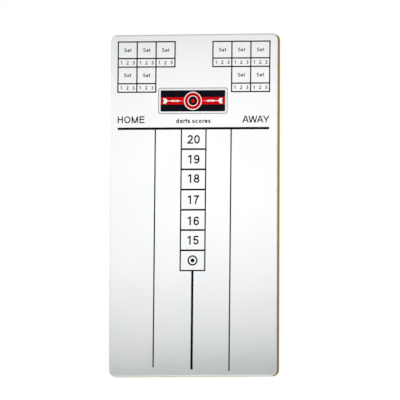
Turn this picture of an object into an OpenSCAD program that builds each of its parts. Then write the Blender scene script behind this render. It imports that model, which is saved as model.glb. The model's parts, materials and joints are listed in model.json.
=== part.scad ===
// Dry-wipe darts scoring board that hangs on a wall: a fibreboard panel with a glossy
// writing film on its front, a printed score sheet, a vinyl badge and two keyhole hangers.
// Frame: millimetres, +Z up, the front faces -Y, the origin is the centre of the back face.

/* [Panel] */
// Width of the board
panel_w = 300; // [296:1:330]
// Height of the board
panel_h = 600; // [596:1:640]
// Thickness of the board, film and liner included
panel_t = 22; // [16:1:25]
// Radius of the four corners, seen from the front
corner_r = 11; // [8:0.5:14]
// Radius of the rolled front arris that the film wraps over
roll_r = 3.2; // [2:0.1:5]
// Thickness of the writing film
film_t = 0.4; // [0.3:0.1:0.8]
// Thickness of the balancing sheet on the back
liner_t = 0.4; // [0.3:0.1:0.8]

/* [Score sheet] */
// How far the ink stands proud of the film
ink_t = 0.08; // [0.05:0.01:0.15]
// Clockwise tilt of the print on the board, in degrees
print_tilt = 0.35; // [0:0.05:1]
// Sideways shift of the print on the board
print_shift = -1; // [-3:0.5:3]
// Blank margin between the board's side and the print
side_margin = 14.2; // [12:0.2:20]
// Width of a thin rule
thin_rule = 2.3; // [1:0.1:2.6]
// Width of the header rule and the centre rule
thick_rule = 4.1; // [2:0.1:4.6]
// Height of the header rule above the board's centre
header_z = 134.5; // [130:0.5:140]
// Height of the lower end of the home column rule
home_rule_end = -284.3; // [-288:0.1:-270]
// Height of the lower end of the away column rule
away_rule_end = -290.7; // [-292:0.1:-270]
// Height of the lower end of the centre rule
centre_rule_end = -288.1; // [-292:0.1:-270]

/* [Number ladder] */
// Width of the ladder between the middles of its side rules
ladder_w = 44; // [40:0.1:50]
// Sideways shift of the ladder on the print
ladder_shift = 0.9; // [-2:0.1:2]
// Height of the top cell, from the middle of the header rule
top_cell_h = 36.3; // [34:0.1:38]
// Height of every other cell
cell_h = 35.5; // [34:0.1:36]
// Width of the cross rules of the ladder
rung_rule = 3; // [1:0.1:4]
// Height of a numeral
numeral_h = 15.3; // [12:0.1:18]
// Radius of the bullseye symbol in the last cell
symbol_r = 9; // [6:0.5:12]

/* [Set boxes] */
// Width of the rules of the boxes
box_rule = 2.2; // [1:0.1:2.6]
// Height of the top edge of the boxes
boxes_top = 287.1; // [280:0.1:290]
// Height of a cell that is headed Set
set_cell_h = 29.3; // [26:0.1:31]
// Height of the cell below it, for three legs
leg_cell_h = 14.9; // [12:0.1:16]
// Height of the capital in the word Set
set_cap_h = 6.4; // [5:0.1:8]
// Height of the leg digits
leg_digit_h = 6.2; // [4:0.1:6.6]
// Distance between the leg digits
leg_pitch = 10.9; // [9:0.1:11]

/* [Names] */
// Height of the capitals in the player names
name_h = 12; // [9:0.1:13]
// Height of the foot of the names
name_z = 144.3; // [142:0.1:150]
// Height of the capitals in the caption under the badge
caption_h = 7.9; // [5:0.1:8]
// Height of the foot of the caption
caption_z = 144; // [142:0.1:148]

/* [Badge] */
// Width of the vinyl label
badge_w = 124.6; // [110:0.1:130]
// Height of the vinyl label
badge_h = 46.2; // [42:0.1:48]
// Radius of the label's corners
badge_r = 4; // [2:0.5:6]
// Thickness of the vinyl
badge_t = 0.15; // [0.1:0.01:0.3]
// Width of the grey keyline round the label
keyline_w = 1.5; // [0.5:0.1:1.8]
// Width of the pale margin inside the keyline
badge_margin = 3; // [2:0.1:4]
// Height of the red stripe
stripe_h = 13; // [10:0.5:16]
// Radius of the target roundel in the middle of the label
target_r = 16; // [14:0.5:16.5]
// Height of the label's middle above the board's centre
badge_z = 183; // [180:0.1:184]

/* [Hangers] */
// Distance between the two keyholes
keyhole_pitch = 200; // [160:1:240]
// Height of the round entry of each keyhole
keyhole_z = 245; // [230:1:255]
// Radius of the round entry
entry_r = 5; // [4.5:0.1:5.5]
// Half the width of the slot above the entry
slot_r = 2.4; // [2.1:0.1:2.6]
// Travel from the entry up to the seat of the slot
slot_rise = 14; // [10:0.5:15]
// Width of the hanger plate
plate_w = 20; // [18:0.5:24]
// Height of the hanger plate
plate_h = 52; // [52:0.5:58]
// Thickness of the hanger plate
plate_t = 1.5; // [1.2:0.1:2]
// Depth of the pocket routed behind the plate
pocket_d = 8; // [6:0.5:10]
// Length of the hanger screws
screw_len = 12; // [10:0.5:13]

/* [Hidden] */
$fn = 96;

// Which side of the board a piece is on, seen from the front
home = -1;
away = 1;

// How far a cutting shape reaches past the solid that it cuts
cut = 1;

// Where the rolled arris begins, and the top of the vinyl label
shelf = panel_t - roll_r;
badge_top = panel_t + badge_t;

// The print: half its width, and its column and box widths in even fractions of that
print_half = panel_w / 2 - side_margin;
column_x = print_half / 2;
set_cell_w = print_half / 4;
under_header = header_z - thick_rule / 2;

// What the ladder says, and how far each numeral was set above the middle of its cell
numerals = ["20", "19", "18", "17", "16", "15"];
numeral_lift = [0, 0, 1.6, 0, -1.6, 0];

// The last cell, below the numerals, and the foot of the ladder
bullseye_cell = len(numerals);
ladder_foot = header_z - top_cell_h - bullseye_cell * cell_h;

// Radius of the dot in the bullseye symbol, as a share of the symbol's radius
symbol_dot = 0.38;
// Blank before the stem of the first letter of HOME, as a share of the letter height
stem_inset = 0.1;

// Stroke widths as a share of the letter height: numerals, names, small words, caption
numeral_weight = 0.165;
small_weight = 0.17;
caption_weight = 0.2;

// The badge's printed field
field_w = badge_w - 2 * (keyline_w + badge_margin);
field_h = badge_h - 2 * (keyline_w + badge_margin);
field_r = 1.5;
// Radii where the roundel changes colour: white, red, white, black, red
target_rings = [1, 0.9, 0.58, 0.5, 0.22] * target_r;
overprint_t = 0.05;
// Blank between the roundel and the point of each dart
dart_gap = 1.5;

// Hanger screw: head, plain shank, thread and tip, and the cross cut in its head
screw_pitch = 40;
head_r = 3.5;
shank_r = 1.75;
shank_len = 0.8;
root_r = 1.3;
thread_pitch = 1.2;
tip_len = 2.2;
recess_w = 0.9;
recess_span = 3.8;
recess_depth = 1.3;

// Corner of the hanger plate, and the pocket behind it
plate_r = 4;
pocket_w = 13;
pocket_r = 3;
// Room above and below the keyhole in the pocket
pocket_room = 1;
pocket_h = slot_rise + 2 * (entry_r + pocket_room);
// The plate's middle is halfway up the keyhole's travel, less the entry's extra reach
plate_z = keyhole_z + slot_rise / 2 - (entry_r - slot_r) / 2;

// ---------------------------------------------------------------- flat building blocks

// Draws a flat shape as a layer; from is measured forwards from the back face
module layer(from, thick)
    rotate([90, 0, 0])
        translate([0, 0, from])
            linear_extrude(height = thick)
                children();

// Draws a flat shape as ink on the tilted print
module print_layer()
    layer(panel_t, ink_t)
        rotate(-print_tilt)
            translate([print_shift, 0])
                children();

// A quarter of a disc, between +X and +Y
module quarter_disc(r)
    intersection() {
        circle(r);
        square(2 * r);
    }

module annulus(outer, inner)
    difference() {
        circle(outer);
        circle(inner);
    }

// The four corners of a rectangle, each with the turn that faces a quarter disc outwards
function corners(w, h) =
    [[w / 2, h / 2, 0], [-w / 2, h / 2, 90], [-w / 2, -h / 2, 180], [w / 2, -h / 2, 270]];

module round_rect(w, h, r) {
    square([w, h - 2 * r], center = true);
    for (side = [-1, 1])
        translate([0, side * (h - r) / 2])
            square([w - 2 * r, r], center = true);
    for (c = corners(w - 2 * r, h - 2 * r))
        translate([c[0], c[1]])
            rotate(c[2])
                quarter_disc(r);
}

// A rule between two points on one level, with its ends reaching half a width past them
module across(x0, x1, z, w = thin_rule)
    translate([min(x0, x1) - w / 2, z - w / 2])
        square([abs(x1 - x0) + w, w]);

// An upright rule from foot to head
module upright(x, foot, head, w = thin_rule)
    translate([x - w / 2, foot])
        square([w, head - foot]);

// ------------------------------------------------------------------ the panel's shapes

// The front of a slab: a flat field inside an arris rolled to radius roll
module rolled_front(w, h, corner, roll, from) {
    layer(from, roll)
        round_rect(w - 2 * roll, h - 2 * roll, corner - roll);
    rotate([90, 0, 0])
        translate([0, 0, from]) {
            for (s = [[w, h, 0], [h, w, 90], [w, h, 180], [h, w, 270]])
                rotate(s[2])
                    translate([s[0] / 2 - roll, 0, 0])
                        rotate([90, 0, 0])
                            linear_extrude(height = s[1] - 2 * corner, center = true)
                                quarter_disc(roll);
            for (c = corners(w - 2 * corner, h - 2 * corner))
                translate([c[0], c[1], 0])
                    rotate(c[2])
                        rotate_extrude(angle = 90)
                            translate([corner - roll, 0])
                                quarter_disc(roll);
        }
}

// What the film covers: the same front, one film thickness smaller all round
module film_bed(from)
    rolled_front(panel_w - 2 * film_t, panel_h - 2 * film_t, corner_r - film_t,
                 roll_r - film_t, from);

// ------------------------------------------------------------------------ hanger shapes

// Places a child drawn round a keyhole plate's middle, on one side of the board
module at_hanger(side)
    rotate([90, 0, 0])
        translate([side * keyhole_pitch / 2, plate_z, 0])
            children();

module keyhole() {
    entry = keyhole_z - plate_z;
    seat = entry + slot_rise;
    translate([0, entry])
        circle(entry_r);
    translate([-slot_r, entry])
        square([2 * slot_r, slot_rise]);
    for (turn = [0, 90])
        translate([0, seat])
            rotate(turn)
                quarter_disc(slot_r);
}

// A countersunk screw, its head flush with the back face and its tip towards the front
module screw_solid() {
    neck = head_r - shank_r;
    turns = floor((screw_len - neck - shank_len - tip_len) / thread_pitch);
    start = screw_len - tip_len - turns * thread_pitch;
    rotate_extrude()
        polygon(concat(
            [[0, 0], [head_r, 0], [shank_r, neck], [shank_r, start - thread_pitch / 4]],
            [for (i = [0:turns - 1], half = [0, 1])
                [half == 0 ? root_r : shank_r, start + (i + half / 2) * thread_pitch]],
            [[root_r, start + turns * thread_pitch], [0, screw_len]]));
}

module both_screws()
    for (end = [-1, 1])
        translate([0, end * screw_pitch / 2, 0])
            children();

// Everything that the hangers and their screws take out of the panel
module hanger_cutout() {
    for (side = [home, away])
        at_hanger(side) {
            translate([0, 0, -cut])
                linear_extrude(height = plate_t + cut)
                    round_rect(plate_w, plate_h, plate_r);
            translate([0, 0, plate_t - cut])
                linear_extrude(height = pocket_d + cut)
                    round_rect(pocket_w, pocket_h, pocket_r);
            both_screws()
                screw_solid();
        }
}

module hanger_plate(side)
    color("silver")
        at_hanger(side)
            difference() {
                linear_extrude(height = plate_t)
                    difference() {
                        round_rect(plate_w, plate_h, plate_r);
                        keyhole();
                    }
                both_screws()
                    screw_solid();
            }

module hanger_screws(side)
    color("gainsboro")
        at_hanger(side)
            both_screws()
                difference() {
                    screw_solid();
                    for (turn = [45, 135])
                        rotate(turn)
                            translate([-recess_span / 2, -recess_w / 2, -cut])
                                cube([recess_span, recess_w, recess_depth + cut]);
                }

// ------------------------------------------------------------- strokes for the lettering

// Degrees between the points of a round stroke
arc_step = 15;

function arc(x, y, rx, ry, from, to) =
    let (n = ceil(abs(to - from) / arc_step))
    [for (i = [0:n]) let (a = from + (to - from) * i / n) [x + rx * cos(a), y + ry * sin(a)]];

function heading(p, q) = (q - p) / norm(q - p);
function left_of(v) = [-v[1], v[0]];
// The step from a corner to the same corner of the line's edge, for a unit width
function miter(a, b) = (left_of(a) + left_of(b)) / (1 + a * b);

// One edge of an open line, at distance d to its left
function edge(line, d) =
    let (last = len(line) - 1)
    [for (i = [0:last])
        let (a = heading(line[max(i - 1, 0)], line[max(i, 1)]),
             b = heading(line[min(i, last - 1)], line[min(i + 1, last)]))
        line[i] + d * miter(a, b)];

// One edge of a closed line, whose last point isn't its first
function loop_edge(line, d) =
    let (n = len(line))
    [for (i = [0:n - 1])
        line[i] + d * miter(heading(line[(i + n - 1) % n], line[i]),
                            heading(line[i], line[(i + 1) % n]))];

function reverse(list) = [for (i = [len(list) - 1:-1:0]) list[i]];

module stroke(line, w)
    polygon(concat(edge(line, -w / 2), reverse(edge(line, w / 2))));

module loop(line, w) {
    n = len(line);
    polygon(concat(loop_edge(line, -w / 2), loop_edge(line, w / 2)),
            paths = [[for (i = [0:n - 1]) i], [for (i = [0:n - 1]) n + i]]);
}

// The middle line of an oval with round ends of height ry and upright sides between them
function oval(x, y, rx, half_h, ry) =
    concat(arc(x, y + half_h - ry, rx, ry, 0, 180), arc(x, y - half_h + ry, rx, ry, 180, 360));

// The middle line of a ring
function ring(x, y, rx, ry) =
    let (n = 360 / arc_step)
    [for (i = [0:n - 1]) [x + rx * cos(i * arc_step), y + ry * sin(i * arc_step)]];

// Keeps what lies between the foot and the head of the capitals
module clip(w, top = 1)
    intersection() {
        square([w, top]);
        children();
    }

// -------------------------------------------------------------------------- the letters
// Each is drawn with its foot at 0 and its capital height 1; w is the width of its stroke

// Height of a small letter
x_height = 0.724;
// How far each letter moves the pen on, and the pairs that tuck under each other
advances = [["0", 0.777], ["1", 0.777], ["2", 0.777], ["3", 0.777], ["5", 0.777],
            ["6", 0.777], ["7", 0.777], ["8", 0.777], ["9", 0.777], ["H", 1.009],
            ["O", 1.087], ["M", 1.164], ["E", 0.932], ["A", 0.932], ["W", 1.319],
            ["Y", 0.932], ["S", 0.932], ["e", 0.777], ["t", 0.45], ["s", 0.72],
            ["c", 0.74], ["o", 0.84], ["r", 0.54], ["a", 0.84], ["d", 0.84],
            [" ", 0.3]];
slanting_pairs = ["AW", "WA", "AY"];
tuck = 0.04;

function advance(c) = [for (a = advances) if (a[0] == c) a[1]][0];
function tucked(pair) = tuck * len([for (s = slanting_pairs) if (s == pair) s]);
// Where letter i of a word starts, and how wide the word is
function pen(word, i) =
    i == 0 ? 0
           : pen(word, i - 1) + advance(word[i - 1]) - tucked(str(word[i - 1], word[i]));
function word_w(word) =
    pen(word, len(word) - 1) + advance(word[len(word) - 1]);

module letter(c, w) {
    h = w / 2;
    // middle of a small round letter, and the radii of its stroke's middle line
    mid = x_height / 2;
    rx = 0.33 - h;
    ry = mid - h;
    // the two bowls of 3 and 8, which meet at the waist
    waist = 0.52;
    upper = (waist + 0.006 + 1 - h) / 2;
    upper_ry = upper - waist - 0.006;
    lower = (waist - 0.006 + h) / 2;
    lower_ry = lower - h;

    if (c == "0")
        loop(oval(0.389, 0.5, 0.33 - h, 0.5 - h, 0.37), w);
    if (c == "1") {
        upright(0.46, 0, 1, w);
        clip(0.46)
            stroke([[0.15, 0.765], [0.28, 0.82], [0.39, 0.91], [0.50, 1.06]], 0.9 * w);
    }
    if (c == "2") {
        translate([0.06, 0])
            square([0.65, w]);
        clip(0.8)
            stroke(concat(arc(0.37, 0.69, 0.31 - h, 0.31 - h, 170, -24),
                          [[0.50, 0.45], [0.24, 0.21], [0.13, 0.08], [0.07, -0.06]]), w);
    }
    if (c == "3") {
        stroke(concat(arc(0.37, upper, 0.29 - h, upper_ry, 168, -90),
                      [[0.27, waist + 0.006]]), w);
        stroke(concat([[0.33, waist - 0.006]],
                      arc(0.37, lower, 0.32 - h, lower_ry, 90, -168)), w);
    }
    if (c == "5") {
        stroke([[0.67, 1 - h], [0.215, 1 - h], [0.13, 0.47]], w);
        stroke(arc(0.37, 0.325, 0.335 - h, 0.325 - h, 142, -165), w);
    }
    if (c == "6") {
        loop(ring(0.4, 0.32, 0.325 - h, 0.32 - h), w);
        stroke(concat(arc(0.42, 0.56, 0.345 - h, 0.44 - h, 32, 180),
                      [[0.075 + h, 0.36]]), w);
    }
    if (c == "7") {
        translate([0.065, 1 - w])
            square([0.635, w]);
        intersection() {
            square([0.7, 1 - h]);
            stroke([[0.71, 1.03], [0.52, 0.79], [0.38, 0.5], [0.3, 0.22], [0.265, -0.1]], w);
        }
    }
    if (c == "8") {
        loop(ring(0.389, upper, 0.29 - h, upper_ry), w);
        loop(ring(0.389, lower, 0.33 - h, lower_ry), w);
    }
    if (c == "9")
        translate([0.777, 1])
            rotate(180)
                letter("6", w);
    if (c == "H") {
        upright(0.112 + h, 0, 1, w);
        upright(0.897 - h, 0, 1, w);
        translate([0.112 + h, 0.53 - h])
            square([0.785 - w, w]);
    }
    if (c == "O")
        loop(ring(0.545, 0.5, 0.478 - h, 0.51 - h), w);
    if (c == "M") {
        upright(0.104 + h, 0, 1, w);
        upright(1.06 - h, 0, 1, w);
        clip(1.164)
            stroke([[0.11, 1.13], [0.582, -0.06], [1.054, 1.13]], 0.95 * w);
    }
    if (c == "E") {
        upright(0.11 + h, 0, 1, w);
        for (bar = [[0, 0.745], [0.535 - h, 0.705], [1 - w, 0.735]])
            translate([0.11 + h, bar[0]])
                square([bar[1] - h, w]);
    }
    if (c == "A") {
        clip(0.932)
            stroke([[0.033, -0.1], [0.466, 1.1], [0.899, -0.1]], w);
        translate([0.2, 0.36 - h])
            square([0.532, 0.9 * w]);
    }
    if (c == "W")
        clip(1.319)
            stroke([[0.06, 1.1], [0.355, -0.08], [0.66, 1.0], [0.965, -0.08], [1.259, 1.1]], w);
    if (c == "Y") {
        clip(0.932)
            stroke([[0.02, 1.07], [0.466, 0.41], [0.912, 1.07]], w);
        upright(0.466, 0, 0.45, w);
    }
    if (c == "S")
        stroke(concat(arc(0.45, 0.745, 0.345 - h, 0.265 - h, 12, 230),
                      reverse(arc(0.47, 0.285, 0.385 - h, 0.295 - h, -168, 62))), w);
    if (c == "s") {
        bowl = (mid - h) / 2;
        left = 0.06 + h + bowl;
        right = 0.62 - h - bowl;
        stroke(concat(arc(right, mid + bowl, bowl, bowl, 35, 90),
                      arc(left, mid + bowl, bowl, bowl, 90, 270),
                      arc(right, mid - bowl, bowl, bowl, 90, -90),
                      arc(left, mid - bowl, bowl, bowl, -90, -145)), w);
    }
    if (c == "e") {
        stroke(arc(0.389, mid, rx, ry, 0, 325), w);
        translate([0.389 - rx, mid - h])
            square([2 * rx + 0.8 * h, w]);
    }
    if (c == "t") {
        hook = h + 0.05;
        stroke(concat([[0.21, 0.96]], arc(0.21 + hook, hook + h, hook, hook, 180, 285)), w);
        translate([0, x_height - w])
            square([0.43, w]);
    }
    if (c == "c")
        stroke(arc(0.37, mid, rx, ry, 42, 318), w);
    if (c == "o")
        loop(ring(0.42, mid, rx, ry), w);
    if (c == "r") {
        upright(0.09 + h, 0, x_height, w);
        stroke(concat([[0.09 + h, 0.4]],
                      arc(0.33 + h, x_height - h - 0.2, 0.24, 0.2, 165, 70)), w);
    }
    if (c == "a" || c == "d") {
        // a bowl with a stem on its right
        upright(0.75 - h, 0, c == "a" ? x_height : 1, w);
        loop(ring(0.42, mid, rx, ry), w);
    }
}

// A word of capital height size, starting at x = 0 (or ending or centred there)
module word(letters, size, weight, align = "left")
    scale(size)
        translate([align == "left" ? 0 : word_w(letters) * (align == "centre" ? -0.5 : -1), 0])
            for (i = [0:len(letters) - 1])
                translate([pen(letters, i), 0])
                    letter(letters[i], weight);

// ------------------------------------------------------------------------ the sub-parts

module panel_core()
    color("peru")
        difference() {
            union() {
                layer(liner_t, shelf - liner_t)
                    round_rect(panel_w, panel_h, corner_r);
                film_bed(shelf);
            }
            hanger_cutout();
        }

module dry_wipe_film()
    color("white")
        difference() {
            rolled_front(panel_w, panel_h, corner_r, roll_r, shelf);
            film_bed(shelf);
        }

module back_liner()
    color("whitesmoke")
        difference() {
            layer(0, liner_t)
                round_rect(panel_w, panel_h, corner_r);
            hanger_cutout();
        }

module header_rule()
    color("black")
        print_layer()
            translate([-print_half, header_z - thick_rule / 2])
                square([2 * print_half, thick_rule]);

module column_rule(side, foot)
    color("black")
        print_layer()
            upright(side * column_x, foot, under_header);

module home_column_rule() column_rule(home, home_rule_end);
module away_column_rule() column_rule(away, away_rule_end);

module centre_rule()
    color("black")
        print_layer()
            upright(ladder_shift, centre_rule_end, ladder_foot - thin_rule / 2, thick_rule);

module score_ladder()
    color("black")
        print_layer()
            translate([ladder_shift, 0]) {
                for (side = [-1, 1])
                    upright(side * ladder_w / 2, ladder_foot - thin_rule / 2, under_header);
                for (rung = [0:bullseye_cell - 1])
                    translate([0, header_z - top_cell_h - rung * cell_h])
                        square([ladder_w + thin_rule, rung_rule], center = true);
                across(-ladder_w / 2, ladder_w / 2, ladder_foot);
            }

// Height of the middle of a ladder cell, counted from the top
function cell_mid(i) =
    i == 0 ? (under_header + header_z - top_cell_h) / 2
           : header_z - top_cell_h - (i - 0.5) * cell_h;

module target_numerals()
    color("black")
        print_layer()
            for (i = [0:bullseye_cell - 1])
                translate([ladder_shift, cell_mid(i) + numeral_lift[i] - numeral_h / 2])
                    word(numerals[i], numeral_h, numeral_weight, "centre");

module bullseye_symbol()
    color("black")
        print_layer()
            translate([ladder_shift, cell_mid(bullseye_cell)]) {
                annulus(symbol_r, symbol_r - numeral_weight * numeral_h);
                circle(symbol_dot * symbol_r);
            }

// The boxes on one side: three sets above and two below, each with a strip for its legs
module set_boxes(side)
    color("black")
        print_layer() {
            outer = side * print_half;
            inner = side * set_cell_w;
            second = side * 2 * set_cell_w;
            row = set_cell_h + leg_cell_h;
            for (z = [0, set_cell_h, row])
                across(outer, inner, boxes_top - z, box_rule);
            for (z = [row + set_cell_h, 2 * row])
                across(outer, second, boxes_top - z, box_rule);
            for (i = [2:4])
                upright(side * i * set_cell_w, boxes_top - 2 * row, boxes_top, box_rule);
            upright(inner, boxes_top - row, boxes_top, box_rule);
        }

module home_set_boxes() set_boxes(home);
module away_set_boxes() set_boxes(away);

// One box's lettering, with the middle of the box's heading at the origin
module set_lettering() {
    translate([0, -set_cap_h / 2])
        word("Set", set_cap_h, small_weight, "centre");
    for (leg = [1:3])
        translate([(leg - 2) * leg_pitch, -(set_cell_h + leg_cell_h + leg_digit_h) / 2])
            word(str(leg), leg_digit_h, small_weight, "centre");
}

module side_lettering(side)
    color("black")
        print_layer()
            for (row = [0, 1], i = [row + 1:3])
                translate([side * (i + 0.5) * set_cell_w,
                           boxes_top - row * (set_cell_h + leg_cell_h) - set_cell_h / 2])
                    set_lettering();

module home_set_lettering() side_lettering(home);
module away_set_lettering() side_lettering(away);

module home_name()
    color("black")
        print_layer()
            translate([-print_half - stem_inset * name_h, name_z])
                word("HOME", name_h, numeral_weight);

module away_name()
    color("black")
        print_layer()
            translate([print_half, name_z])
                word("AWAY", name_h, numeral_weight, "right");

module caption_line()
    color("black")
        print_layer()
            translate([0, caption_z])
                word("darts scores", caption_h, caption_weight, "centre");

// --------------------------------------------------------------------- the vinyl badge

module badge_layer(from, thick)
    layer(from, thick)
        translate([print_shift, badge_z])
            rotate(-print_tilt)
                children();

module badge_label()
    color("gainsboro")
        badge_layer(panel_t, badge_t)
            round_rect(badge_w, badge_h, badge_r);

module badge_keyline()
    color("darkgray")
        badge_layer(badge_top, overprint_t)
            difference() {
                round_rect(badge_w, badge_h, badge_r);
                round_rect(badge_w - 2 * keyline_w, badge_h - 2 * keyline_w,
                           badge_r - keyline_w);
            }

module badge_field()
    color("black")
        badge_layer(badge_top, overprint_t) {
            difference() {
                round_rect(field_w, field_h, field_r);
                square([field_w + cut, stripe_h], center = true);
                circle(target_r);
            }
            annulus(target_rings[3], target_rings[4]);
        }

module badge_stripe()
    color("crimson")
        badge_layer(badge_top, overprint_t) {
            difference() {
                square([field_w, stripe_h], center = true);
                circle(target_r);
            }
            annulus(target_rings[1], target_rings[2]);
            circle(target_rings[4]);
        }

module badge_target()
    color("white")
        badge_layer(badge_top, overprint_t) {
            annulus(target_rings[0], target_rings[1]);
            annulus(target_rings[2], target_rings[3]);
        }

// The side view of a dart, flying towards -X with its point at the origin
module dart() {
    polygon([[0, 0], [8, -0.5], [8, 0.5]]);
    difference() {
        polygon([[8, -0.8], [9.5, -1.6], [20, -1.6], [21, -0.8],
                 [21, 0.8], [20, 1.6], [9.5, 1.6], [8, 0.8]]);
        for (groove = [11.5:1.5:16])
            translate([groove, -2])
                square([0.6, 4]);
    }
    translate([21, -0.6])
        square([7, 1.2]);
    polygon([[28, -0.9], [31, -4.6], [36, -4.6], [34.2, 0],
             [36, 4.6], [31, 4.6], [28, 0.9]]);
}

module badge_darts()
    color("white")
        badge_layer(badge_top + overprint_t, overprint_t)
            for (side = [0, 1])
                mirror([side, 0])
                    translate([target_r + dart_gap, 0])
                        dart();

// ------------------------------------------------------------------------- the hangers

module home_side_hanger() hanger_plate(home);
module away_side_hanger() hanger_plate(away);
module home_side_screws() hanger_screws(home);
module away_side_screws() hanger_screws(away);

panel_core();
dry_wipe_film();
back_liner();
header_rule();
home_column_rule();
away_column_rule();
centre_rule();
score_ladder();
target_numerals();
bullseye_symbol();
home_set_boxes();
away_set_boxes();
home_set_lettering();
away_set_lettering();
home_name();
away_name();
caption_line();
badge_label();
badge_keyline();
badge_field();
badge_stripe();
badge_target();
badge_darts();
home_side_hanger();
away_side_hanger();
home_side_screws();
away_side_screws();
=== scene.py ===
"""Looks of the dry-wipe darts scoring board.

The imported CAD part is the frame: +Z up, the front faces -Y, the back face lies on y = 0.
Smooth skins replace the panel's three layers and the hangers; every other CAD node stays and
gets its own material. Lengths are in metres; patterns are sized in millimetres through MM.
"""

import json
import math

import bmesh
import bpy
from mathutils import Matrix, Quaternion, Vector


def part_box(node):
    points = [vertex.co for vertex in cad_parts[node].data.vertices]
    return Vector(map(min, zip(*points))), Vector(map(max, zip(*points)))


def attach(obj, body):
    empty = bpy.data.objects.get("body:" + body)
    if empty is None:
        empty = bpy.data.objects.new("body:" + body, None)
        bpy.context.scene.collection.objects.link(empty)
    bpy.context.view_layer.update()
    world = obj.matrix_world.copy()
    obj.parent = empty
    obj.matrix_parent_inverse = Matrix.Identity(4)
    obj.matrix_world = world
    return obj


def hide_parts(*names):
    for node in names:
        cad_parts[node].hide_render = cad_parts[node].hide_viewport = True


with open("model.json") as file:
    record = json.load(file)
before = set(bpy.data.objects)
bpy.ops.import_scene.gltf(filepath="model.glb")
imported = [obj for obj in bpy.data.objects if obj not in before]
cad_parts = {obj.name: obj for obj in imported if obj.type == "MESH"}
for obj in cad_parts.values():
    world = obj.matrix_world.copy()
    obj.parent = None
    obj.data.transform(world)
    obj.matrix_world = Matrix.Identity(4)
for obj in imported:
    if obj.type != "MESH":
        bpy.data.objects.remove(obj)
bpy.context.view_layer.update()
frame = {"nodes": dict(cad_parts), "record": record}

MM = 0.001
NODES = frame["nodes"]
BODY = "root"
SIDES = ("home_side", "away_side")


def extent(node):
    """The size of a CAD node's box along X, Y and Z."""
    low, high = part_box(node)
    return high - low


# ------------------------------------------------------------------ sizes, from the frame

PANEL = extent("panel_core")
BOARD_W, BOARD_H = PANEL.x, PANEL.z
FRONT = -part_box("dry_wipe_film")[0].y
SHELF = -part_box("dry_wipe_film")[1].y
ROLL_R = FRONT - SHELF
FILM_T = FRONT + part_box("panel_core")[0].y
LINER_T = extent("back_liner").y
PLATE_T = extent("home_side_hanger").y

# What the CAD boxes don't tell: corners, and the cutouts behind a hanger plate
CORNER_R = 11 * MM
PLATE_R = 4 * MM
RECESS_GAP = 0.15 * MM
POCKET_W, POCKET_H, POCKET_R = 13 * MM, 26 * MM, 3 * MM
POCKET_FLOOR = PLATE_T + 8 * MM
PILOT_R, PILOT_DEPTH, PILOT_PITCH = 1.8 * MM, 12.2 * MM, 40 * MM

# How far the centres of the board's corner arcs lie from its middle
REACH_X, REACH_Z = BOARD_W / 2 - CORNER_R, BOARD_H / 2 - CORNER_R

# Points closer together than this are one point
WELD = 0.001 * MM


# ------------------------------------------------------------------------------ materials

# A Mix node has sockets for every kind of data; these are the ones for colours
MIX_SHARE, MIX_A, MIX_B, MIX_RESULT = 0, 6, 7, 2


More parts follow.
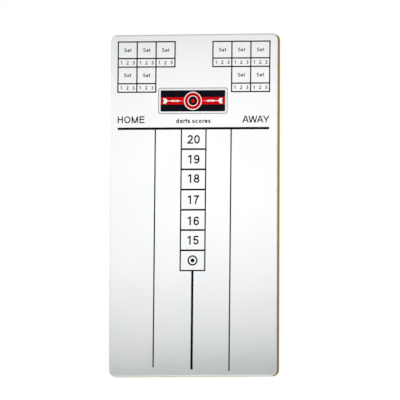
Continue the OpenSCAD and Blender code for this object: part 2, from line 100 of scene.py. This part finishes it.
class Paint:
    """One procedural material, whose patterns are fixed in the row frame."""

    def __init__(self, name, roughness, metallic=0.0, specular=0.5):
        self.material = bpy.data.materials.new(name)
        self.material.use_nodes = True
        self.tree = self.material.node_tree
        self.shader = self.tree.nodes["Principled BSDF"]
        self.shader.inputs["Roughness"].default_value = roughness
        self.shader.inputs["Metallic"].default_value = metallic
        self.shader.inputs["Specular IOR Level"].default_value = specular
        self.place = self.tree.nodes.new("ShaderNodeTexCoord").outputs["Object"]

    def feed(self, socket, value):
        """Links an output to a socket, or sets the socket to a constant."""
        if isinstance(value, bpy.types.NodeSocket):
            self.tree.links.new(value, socket)
        elif socket.type == "RGBA":
            socket.default_value = (*value, 1.0)
        else:
            socket.default_value = value

    def add(self, kind, links=(), **settings):
        """A node with its settings made and its inputs set or linked."""
        made = self.tree.nodes.new(kind)
        for key, value in settings.items():
            setattr(made, key, value)
        for key, value in dict(links).items():
            self.feed(made.inputs[key], value)
        return made

    def stretched(self, size, stretch):
        """Coordinates in which a feature of that size in mm, stretched so, is 1 across."""
        scale = [1 / (size * MM * s) for s in stretch]
        mapping = self.add("ShaderNodeMapping", {"Vector": self.place, "Scale": scale})
        return mapping.outputs["Vector"]

    def noise(self, size, stretch=(1, 1, 1), detail=2.0, twist=0.0):
        """Fractal noise whose largest features are about that size in mm."""
        return self.add(
            "ShaderNodeTexNoise",
            {
                "Vector": self.stretched(size, stretch),
                "Scale": 1.0,
                "Detail": detail,
                "Distortion": twist,
            },
        ).outputs["Fac"]

    def cells(self, size, stretch=(1, 1, 1)):
        """A random grey for each cell of a Voronoi pattern."""
        made = self.add(
            "ShaderNodeTexVoronoi",
            {"Vector": self.stretched(size, stretch), "Scale": 1.0},
        )
        return made.outputs["Color"]

    def between(self, value, low, high, to_low=0.0, to_high=1.0):
        """Spreads low..high of a value over to_low..to_high, and holds it there."""
        return self.add(
            "ShaderNodeMapRange",
            {"Value": value, "From Min": low, "From Max": high, "To Min": to_low, "To Max": to_high},
            interpolation_type="SMOOTHSTEP",
        ).outputs["Result"]

    def sums(self, operation, a, b):
        """One step of arithmetic on two values."""
        made = self.add("ShaderNodeMath", operation=operation)
        for socket, value in zip(made.inputs, (a, b)):
            self.feed(socket, value)
        return made.outputs["Value"]

    def mix(self, share, a, b):
        """Colour a, or b where share is 1."""
        made = self.add("ShaderNodeMix", data_type="RGBA")
        for at, value in ((MIX_SHARE, share), (MIX_A, a), (MIX_B, b)):
            self.feed(made.inputs[at], value)
        return made.outputs[MIX_RESULT]

    def along(self, axis):
        """The X, Y or Z of the point, in metres."""
        return self.add("ShaderNodeSeparateXYZ", {"Vector": self.place}).outputs[axis]

    def bump(self, height, depth, normal=None):
        """A relief that is depth mm deep where height runs from 0 to 1."""
        links = {"Height": height, "Distance": depth * MM, "Strength": 1.0}
        if normal is not None:
            links["Normal"] = normal
        return self.add("ShaderNodeBump", links).outputs["Normal"]

    def finish(self, colour=None, roughness=None, normal=None):
        """Links the patterns that the shader takes, and gives back the material."""
        for key, value in (("Base Color", colour), ("Roughness", roughness), ("Normal", normal)):
            if value is not None:
                self.tree.links.new(value, self.shader.inputs[key])
        return self.material


def film_material():
    """Gloss film: a faint haze and wiping marks, over the orange peel of the glue line."""
    p = Paint("film", roughness=0.2)
    haze = p.noise(70, detail=4.0)
    wipes = p.noise(5, stretch=(14, 1, 1), detail=4.0, twist=0.6)
    specks = p.between(p.noise(0.8, detail=1.0), 0.74, 0.8)
    clean = p.mix(p.between(haze, 0.35, 0.65), (0.86, 0.862, 0.87), (0.88, 0.878, 0.884))
    colour = p.mix(p.sums("MULTIPLY", specks, 0.12), clean, (0.7, 0.72, 0.72))
    roughness = p.between(p.sums("MULTIPLY", haze, wipes), 0.12, 0.4, 0.17, 0.27)
    peel = p.bump(p.noise(1.8, detail=1.0), 0.006)
    waves = p.bump(p.noise(32), 0.035, peel)
    return p.finish(colour, roughness, waves)


def fibreboard_material():
    """Machined fibreboard: pressed fibres in the plane of the board, a looser middle."""
    p = Paint("fibreboard", roughness=0.85, specular=0.25)
    fibres = p.noise(0.35, stretch=(4, 1, 4), detail=4.0, twist=0.3)
    chips = p.cells(0.9, stretch=(2.5, 0.7, 2.5))
    clouds = p.noise(14, stretch=(1, 0.5, 1), detail=3.0)
    half = FRONT / 2
    middle = -(LINER_T + FRONT) / 2
    off_middle = p.sums("ABSOLUTE", p.sums("SUBTRACT", p.along("Y"), middle), 0)
    skin = p.between(off_middle, 0.55 * half, 0.95 * half)
    board = p.mix(p.between(fibres, 0.3, 0.7), (0.37, 0.22, 0.045), (0.56, 0.37, 0.09))
    board = p.mix(p.sums("MULTIPLY", chips, 0.25), board, (0.6, 0.41, 0.12))
    board = p.mix(p.sums("MULTIPLY", clouds, 0.3), board, (0.4, 0.26, 0.06))
    colour = p.mix(p.sums("MULTIPLY", skin, 0.45), board, (0.34, 0.2, 0.045))
    ripple = p.noise(1.3, stretch=(1, 20, 1), detail=0.0)
    fuzz = p.bump(fibres, 0.05)
    return p.finish(colour, None, p.bump(ripple, 0.03, fuzz))


def liner_material():
    """Pale balancing sheet: a fine paper grain, cloudy print and a few handling scuffs."""
    p = Paint("liner", roughness=0.55, specular=0.4)
    grain = p.noise(0.6, stretch=(1, 1, 3), detail=3.0)
    clouds = p.noise(45, detail=4.0)
    scuffs = p.between(p.noise(9, stretch=(7, 1, 0.5), detail=5.0, twist=1.2), 0.66, 0.74)
    pale = p.mix(p.between(clouds, 0.3, 0.7), (0.735, 0.73, 0.695), (0.765, 0.76, 0.725))
    pale = p.mix(p.sums("MULTIPLY", grain, 0.18), pale, (0.6, 0.59, 0.56))
    colour = p.mix(p.sums("MULTIPLY", scuffs, 0.35), pale, (0.5, 0.49, 0.46))
    roughness = p.between(p.sums("ADD", grain, scuffs), 0.3, 1.4, 0.48, 0.66)
    return p.finish(colour, roughness, p.bump(grain, 0.02))


def ink_material(name, dark, light, roughness=0.38, specular=0.5):
    """Screen-printed ink: a fine mesh grain and slightly uneven cover."""
    p = Paint(name, roughness, specular=specular)
    cover = p.noise(6, detail=4.0)
    grain = p.noise(0.25, detail=1.0)
    colour = p.mix(p.between(p.sums("MULTIPLY", cover, grain), 0.12, 0.4), dark, light)
    gloss = p.between(cover, 0.3, 0.7, roughness - 0.06, roughness + 0.08)
    return p.finish(colour, gloss, p.bump(grain, 0.006))


def zinc_material(name, tone, brushed, roughness):
    """Zinc plating: hairs that run as brushed says, and straw patches of passivation."""
    p = Paint(name, roughness, metallic=1.0)
    hairs = p.noise(0.25, stretch=brushed, detail=3.0)
    bloom = p.noise(7, detail=3.0, twist=0.8)
    bright = p.mix(p.between(hairs, 0.3, 0.7), [0.82 * c for c in tone], tone)
    straw = [tone[0], 0.95 * tone[1], 0.8 * tone[2]]
    colour = p.mix(p.between(bloom, 0.45, 0.75, 0.0, 0.5), bright, straw)
    gloss = p.between(hairs, 0.25, 0.75, roughness - 0.08, roughness + 0.1)
    return p.finish(colour, gloss, p.bump(hairs, 0.008))


def make_materials():
    """One material for each slot of the record."""
    return {
        "film": film_material(),
        "fibreboard": fibreboard_material(),
        "liner": liner_material(),
        "black_ink": ink_material("black_ink", (0.002, 0.002, 0.005), (0.006, 0.006, 0.012), 0.45, 0.02),
        "vinyl": ink_material("vinyl", (0.74, 0.75, 0.755), (0.8, 0.81, 0.812), 0.3),
        "grey_ink": ink_material("grey_ink", (0.3, 0.285, 0.29), (0.37, 0.355, 0.36), 0.45, 0.2),
        "red_ink": ink_material("red_ink", (0.53, 0.001, 0.002), (0.6, 0.002, 0.004), 0.45, 0.02),
        "white_ink": ink_material("white_ink", (0.8, 0.8, 0.79), (0.87, 0.87, 0.86), 0.34),
        "zinc_plate": zinc_material("zinc_plate", (0.7, 0.72, 0.75), (1, 1, 40), 0.34),
        "zinc_screw": zinc_material("zinc_screw", (0.74, 0.62, 0.33), (2, 2, 2), 0.28),
    }


# -------------------------------------------------------------------------- mesh building

# Steps round a quarter of the rolled arris and of a corner, and cells across a flat face
ROLL_STEPS = 12
CORNER_STEPS = 16
CELLS_X, CELLS_Z = 15, 30


def put(name, data):
    """An object with that data, linked into the scene."""
    made = bpy.data.objects.new(name, data)
    bpy.context.scene.collection.objects.link(made)
    return made


def corner_arcs(reach_x, reach_z, radius, steps):
    """A rectangle's four round corners as lists of (x, z), going round from +X and +Z.

    Their centres lie at reach_x and reach_z on either side of the middle.
    """
    arcs = []
    for turn, (sx, sz) in enumerate(((1, 1), (-1, 1), (-1, -1), (1, -1))):
        arc = []
        for step in range(steps + 1):
            angle = math.radians(90 * (turn + step / steps))
            x = sx * reach_x + radius * math.cos(angle)
            z = sz * reach_z + radius * math.sin(angle)
            arc.append((x, z))
        arcs.append(arc)
    return arcs


def board_ring(inset, depth):
    """The board's outline, drawn in by inset, at a distance in front of the back face."""
    corners = corner_arcs(REACH_X, REACH_Z, CORNER_R - inset, CORNER_STEPS)
    arcs = [[Vector((x, -depth, z)) for x, z in arc] for arc in corners]
    ring = []
    for turn, arc in enumerate(arcs):
        ring += arc
        last, following = arc[-1], arcs[(turn + 1) % 4][0]
        cells = CELLS_X if turn % 2 == 0 else CELLS_Z
        ring += [last.lerp(following, i / cells) for i in range(1, cells)]
    return ring


def cap(bm, ring):
    """Closes a board ring: a grid in the middle, strips along the sides, fans in the corners."""
    y = ring[0].co.y
    grid = {}
    for i in range(CELLS_X + 1):
        for j in range(CELLS_Z + 1):
            x = REACH_X * (1 - 2 * i / CELLS_X)
            z = REACH_Z * (1 - 2 * j / CELLS_Z)
            grid[i, j] = bm.verts.new((x, y, z))
    for i in range(CELLS_X):
        for j in range(CELLS_Z):
            bm.faces.new((grid[i, j], grid[i + 1, j], grid[i + 1, j + 1], grid[i, j + 1]))
    right, low = CELLS_X, CELLS_Z
    sides = (
        [grid[i, 0] for i in range(right + 1)],
        [grid[right, j] for j in range(low + 1)],
        [grid[right - i, low] for i in range(right + 1)],
        [grid[0, low - j] for j in range(low + 1)],
    )
    at = 0
    for side in sides:
        for step in range(CORNER_STEPS):
            bm.faces.new((side[0], ring[at + step], ring[at + step + 1]))
        at += CORNER_STEPS
        for step in range(len(side) - 1):
            following = ring[(at + step + 1) % len(ring)]
            bm.faces.new((side[step], ring[at + step], following, side[step + 1]))
        at += len(side) - 1


def new_piece(name, mesh, slot, *stands_for):
    """A mesh in the row frame becomes a piece that stands for CAD nodes."""
    piece = put(name, mesh)
    mesh.materials.clear()
    mesh.materials.append(materials[slot])
    # The flat faces keep their own normals, so that only the eased edges shade as round
    normals = piece.modifiers.new("normals", "WEIGHTED_NORMAL")
    normals.keep_sharp = True
    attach(piece, BODY)
    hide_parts(*stands_for)
    return piece


def smooth_by_angle(bm, degrees=30):
    """Smooth faces, with a sharp edge wherever two faces meet at more than that angle."""
    for face in bm.faces:
        face.smooth = True
    for edge in bm.edges:
        if len(edge.link_faces) == 2:
            edge.smooth = edge.calc_face_angle(0) < math.radians(degrees)


def to_mesh(bm, name):
    """A mesh of the bmesh, with its faces turned outwards; the bmesh is used up."""
    bmesh.ops.recalc_face_normals(bm, faces=bm.faces)
    smooth_by_angle(bm)
    mesh = bpy.data.meshes.new(name)
    bm.to_mesh(mesh)
    bm.free()
    return mesh


def slab(name, profile):
    """A closed slab through board rings: profile lists (inset, depth) from one cap to the other."""
    bm = bmesh.new()
    rings = [[bm.verts.new(p) for p in board_ring(*place)] for place in profile]
    for near, far in zip(rings, rings[1:]):
        for i in range(len(near)):
            j = (i + 1) % len(near)
            bm.faces.new((near[i], near[j], far[j], far[i]))
    cap(bm, rings[0])
    cap(bm, rings[-1])
    return to_mesh(bm, name)


def rolled(radius, inset):
    """The arris from the shelf to the flat front, as (inset, depth)."""
    angles = [math.radians(90 * i / ROLL_STEPS) for i in range(ROLL_STEPS + 1)]
    return [(inset + radius * (1 - math.cos(a)), SHELF + radius * math.sin(a)) for a in angles]


def round_rect(width, height, radius, steps=8):
    """The outline of a rectangle with round corners, centred, as (x, z)."""
    arcs = corner_arcs(width / 2 - radius, height / 2 - radius, radius, steps)
    return [point for arc in arcs for point in arc]


def prism(outline, centre, depth):
    """A cutter with that outline in the plane of the board, from behind it to a depth."""
    bm = bmesh.new()
    clear = 1 * MM
    behind = [bm.verts.new((centre.x + x, clear, centre.z + z)) for x, z in outline]
    ahead = [bm.verts.new((centre.x + x, -depth, centre.z + z)) for x, z in outline]
    bm.faces.new(behind)
    bm.faces.new(ahead[::-1])
    for i in range(len(outline)):
        j = (i + 1) % len(outline)
        bm.faces.new((behind[i], ahead[i], ahead[j], behind[j]))
    return put("cutter", to_mesh(bm, "cutter"))


def carved(mesh, cutters):
    """The mesh with the cutters taken out of it; the cutters are used up."""
    host = put("host", mesh)
    for cutter in cutters:
        cut = host.modifiers.new("cut", "BOOLEAN")
        cut.operation = "DIFFERENCE"
        cut.solver = "EXACT"
        cut.object = cutter
    result = bpy.data.meshes.new_from_object(
        host.evaluated_get(bpy.context.evaluated_depsgraph_get())
    )
    for spent in (host, *cutters):
        bpy.data.objects.remove(spent)
    bm = bmesh.new()
    bm.from_mesh(result)
    bmesh.ops.remove_doubles(bm, verts=bm.verts, dist=WELD)
    smooth_by_angle(bm)
    bm.to_mesh(result)
    bm.free()
    return result


# ----------------------------------------------------------------------------- the pieces


def plate_centre(side):
    """The middle of one hanger plate."""
    low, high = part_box(side + "_hanger")
    return (low + high) / 2


def recess_cutters(gap):
    """Cutters for the two hanger plates, with that much room round each."""
    size = extent("home_side_hanger")
    outline = round_rect(size.x + 2 * gap, size.z + 2 * gap, PLATE_R + gap)
    return [prism(outline, plate_centre(side), PLATE_T) for side in SIDES]


def pocket_cutters():
    """Cutters for the pocket behind each keyhole and for the four screw holes."""
    # A little less than a full circle, so that no two points of its outline coincide
    nearly_round = 0.999 * PILOT_R
    pilot = round_rect(2 * PILOT_R, 2 * PILOT_R, nearly_round, steps=4)
    cutters = []
    for side in SIDES:
        centre = plate_centre(side)
        cutters.append(prism(round_rect(POCKET_W, POCKET_H, POCKET_R), centre, POCKET_FLOOR))
        for end in (-1, 1):
            hole = centre + Vector((0, 0, end * PILOT_PITCH / 2))
            cutters.append(prism(pilot, hole, PILOT_DEPTH))
    return cutters


def build_film():
    """The film as a closed shell: rolled over the front arris, ending in a thin round lip."""
    lip = 0.08 * MM
    inner = rolled(ROLL_R - FILM_T, FILM_T)
    outer = rolled(ROLL_R, 0)
    edge = [(FILM_T - lip, SHELF), (lip, SHELF)]
    new_piece(
        "film_skin",
        slab("film_skin", inner[::-1] + edge + outer[1:]),
        "film",
        "dry_wipe_film",
    )


def build_core():
    """The panel: sawn sides with eased arrises, a rolled bed under the film, routed pockets."""
    ease = 0.12 * MM
    sides = [(0, LINER_T), (0, SHELF - ease), (ease, SHELF)]
    bed = rolled(ROLL_R - FILM_T, FILM_T)
    mesh = slab("board_core", sides + bed)
    mesh = carved(mesh, recess_cutters(RECESS_GAP) + pocket_cutters())
    new_piece("board_core", mesh, "fibreboard", "panel_core")


def build_liner():
    """The balancing sheet, its back arris eased where the edges were sanded."""
    ease, steps = 0.3 * MM, 4
    angles = [math.radians(90 * i / steps) for i in range(steps + 1)]
    arris = [(ease * (1 - math.sin(a)), ease * (1 - math.cos(a))) for a in angles]
    mesh = carved(slab("back_sheet", arris + [(0, LINER_T)]), recess_cutters(RECESS_GAP))
    new_piece("back_sheet", mesh, "liner", "back_liner")


def build_hangers():
    """The pressed plates, from the CAD plate's own shape with its punched edges broken."""
    broken = 0.22 * MM
    level = math.radians(1)
    for side in SIDES:
        bm = bmesh.new()
        bm.from_mesh(NODES[side + "_hanger"].data)
        bmesh.ops.remove_doubles(bm, verts=bm.verts, dist=WELD)
        bmesh.ops.dissolve_limit(bm, angle_limit=level, verts=bm.verts, edges=bm.edges)
        rims = [e for e in bm.edges if len(e.link_faces) == 2 and on_flat_rim(e)]
        bmesh.ops.bevel(
            bm, geom=rims, offset=broken, segments=3, profile=0.5, affect="EDGES",
            clamp_overlap=True,
        )
        bmesh.ops.triangulate(bm, faces=[f for f in bm.faces if len(f.verts) > 4])
        mesh = to_mesh(bm, side + "_plate")
        new_piece(side + "_plate", mesh, "zinc_plate", side + "_hanger")


def on_flat_rim(edge):
    """True for an edge between a plate's flat back and the upright wall of its outline."""
    lean = 0.01
    normals = [face.normal for face in edge.link_faces]
    flats = [n for n in normals if n.y > 1 - lean]
    walls = [n for n in normals if abs(n.y) < lean]
    return len(flats) == 1 and len(walls) == 1


def paint_cad_nodes():
    """The CAD nodes that stay: each gets the material of its slot."""
    slots = {row["node"]: row["material_slot"] for row in frame["record"]["subparts"]}
    for name, node in NODES.items():
        for place in node.material_slots:
            place.material = materials[slots[name]]


# --------------------------------------------------------------------------------- stage

# The view: from the right and below, from far enough away that nothing converges
VIEW_AZIMUTH, VIEW_ELEVATION, VIEW_ROLL = 12.0, -3.6, 0.2
VIEW_DISTANCE = 20.0
VIEW_WIDTH = 0.7006
VIEW_CENTRE = Vector((10 * MM, -11 * MM, 9.5 * MM))
SENSOR = 36.0

# Where the front lamp hangs: right of and above the middle of the board, and close to it
FRONT_LAMP_X, FRONT_LAMP_Z = 0.042, 0.068
FRONT_LAMP_GAP = 0.28

# The world's colour as a light, and as the backdrop that the camera sees
DIM_SKY = (0.2, 0.232, 0.219)
BACKDROP = (1, 1, 1)

FLOOR_Z = -1.2
FLOOR_R = 1.5


def look_at(thing, target, turn=0.0):
    """Points a lamp or camera at a target, turned that many degrees about its line of sight."""
    facing = (target - thing.location).to_track_quat("-Z", "Y")
    thing.rotation_mode = "QUATERNION"
    thing.rotation_quaternion = facing @ Quaternion((0, 0, 1), math.radians(turn))


def make_camera():
    """A long lens that takes in VIEW_WIDTH at the board."""
    data = bpy.data.cameras.new("camera")
    data.sensor_width = SENSOR
    data.lens = SENSOR * VIEW_DISTANCE / VIEW_WIDTH
    data.clip_end = 3 * VIEW_DISTANCE
    camera = put("camera", data)
    azimuth, elevation = math.radians(VIEW_AZIMUTH), math.radians(VIEW_ELEVATION)
    back = Vector((
        math.sin(azimuth) * math.cos(elevation),
        -math.cos(azimuth) * math.cos(elevation),
        math.sin(elevation),
    ))
    camera.location = VIEW_CENTRE + VIEW_DISTANCE * back
    look_at(camera, VIEW_CENTRE, VIEW_ROLL)
    bpy.context.scene.camera = camera


def soft_box(name, place, target, size, power, spread=180, turn=0.0, tint=(1, 1, 1)):
    """A rectangular lamp, with its size in metres, power in watts and spread in degrees."""
    data = bpy.data.lights.new(name, "AREA")
    data.shape = "RECTANGLE"
    data.size, data.size_y = size
    data.energy = power
    data.spread = math.radians(spread)
    data.color = tint
    lamp = put(name, data)
    lamp.location = place
    lamp.visible_camera = False
    look_at(lamp, Vector(target), turn)


def make_lights():
    """A soft box close in front, fills level with the board all round, and one behind it."""
    middle = (0, 0, 0)
    soft_box(
        "front_box",
        (FRONT_LAMP_X, -FRONT_LAMP_GAP, FRONT_LAMP_Z),
        (FRONT_LAMP_X, 0, FRONT_LAMP_Z),
        (0.76, 0.63),
        1.335,
        spread=122,
        turn=5.0,
        tint=(1.0, 0.977, 0.988),
    )
    soft_box("left_box", (-1.0, 0.02, 0.16), (0, 0, 0.16), (0.2, 0.6), 2.4)
    soft_box("right_box", (1.0, 0.02, 0.08), (0, 0, 0.08), (0.2, 0.9), 2.2)
    soft_box("top_box", (0, 0.02, 1.1), middle, (0.8, 0.2), 0.4)
    soft_box("low_box", (-0.02, -0.05, -1.0), middle, (0.5, 0.07), 2.8)
    soft_box("back_box", (-1.1, 1.5, 0.7), middle, (1.0, 1.0), 30)


def make_world():
    """White where the camera sees it, dimmer and a little cooler as a light."""
    world = bpy.data.worlds.new("world")
    bpy.context.scene.world = world
    world.use_nodes = True
    tree = world.node_tree
    background = tree.nodes["Background"]
    path = tree.nodes.new("ShaderNodeLightPath")
    tone = tree.nodes.new("ShaderNodeMix")
    tone.data_type = "RGBA"
    tone.inputs[MIX_A].default_value = (*DIM_SKY, 1)
    tone.inputs[MIX_B].default_value = (*BACKDROP, 1)
    tree.links.new(path.outputs["Is Camera Ray"], tone.inputs[MIX_SHARE])
    tree.links.new(tone.outputs[MIX_RESULT], background.inputs["Color"])


def make_floor():
    """A pale disc well below the board."""
    bm = bmesh.new()
    bmesh.ops.create_circle(bm, cap_ends=True, segments=96, radius=FLOOR_R)
    mesh = bpy.data.meshes.new("floor")
    bm.to_mesh(mesh)
    bm.free()
    floor = put("floor", mesh)
    floor.location.z = FLOOR_Z
    p = Paint("floor", roughness=0.9)
    tone = p.mix(p.noise(400), (0.86, 0.86, 0.86), (0.9, 0.9, 0.9))
    mesh.materials.append(p.finish(tone))


materials = make_materials()
paint_cad_nodes()
build_film()
build_core()
build_liner()
build_hangers()
make_camera()
make_lights()
make_world()
make_floor()
bpy.context.scene.view_settings.view_transform = "Standard"
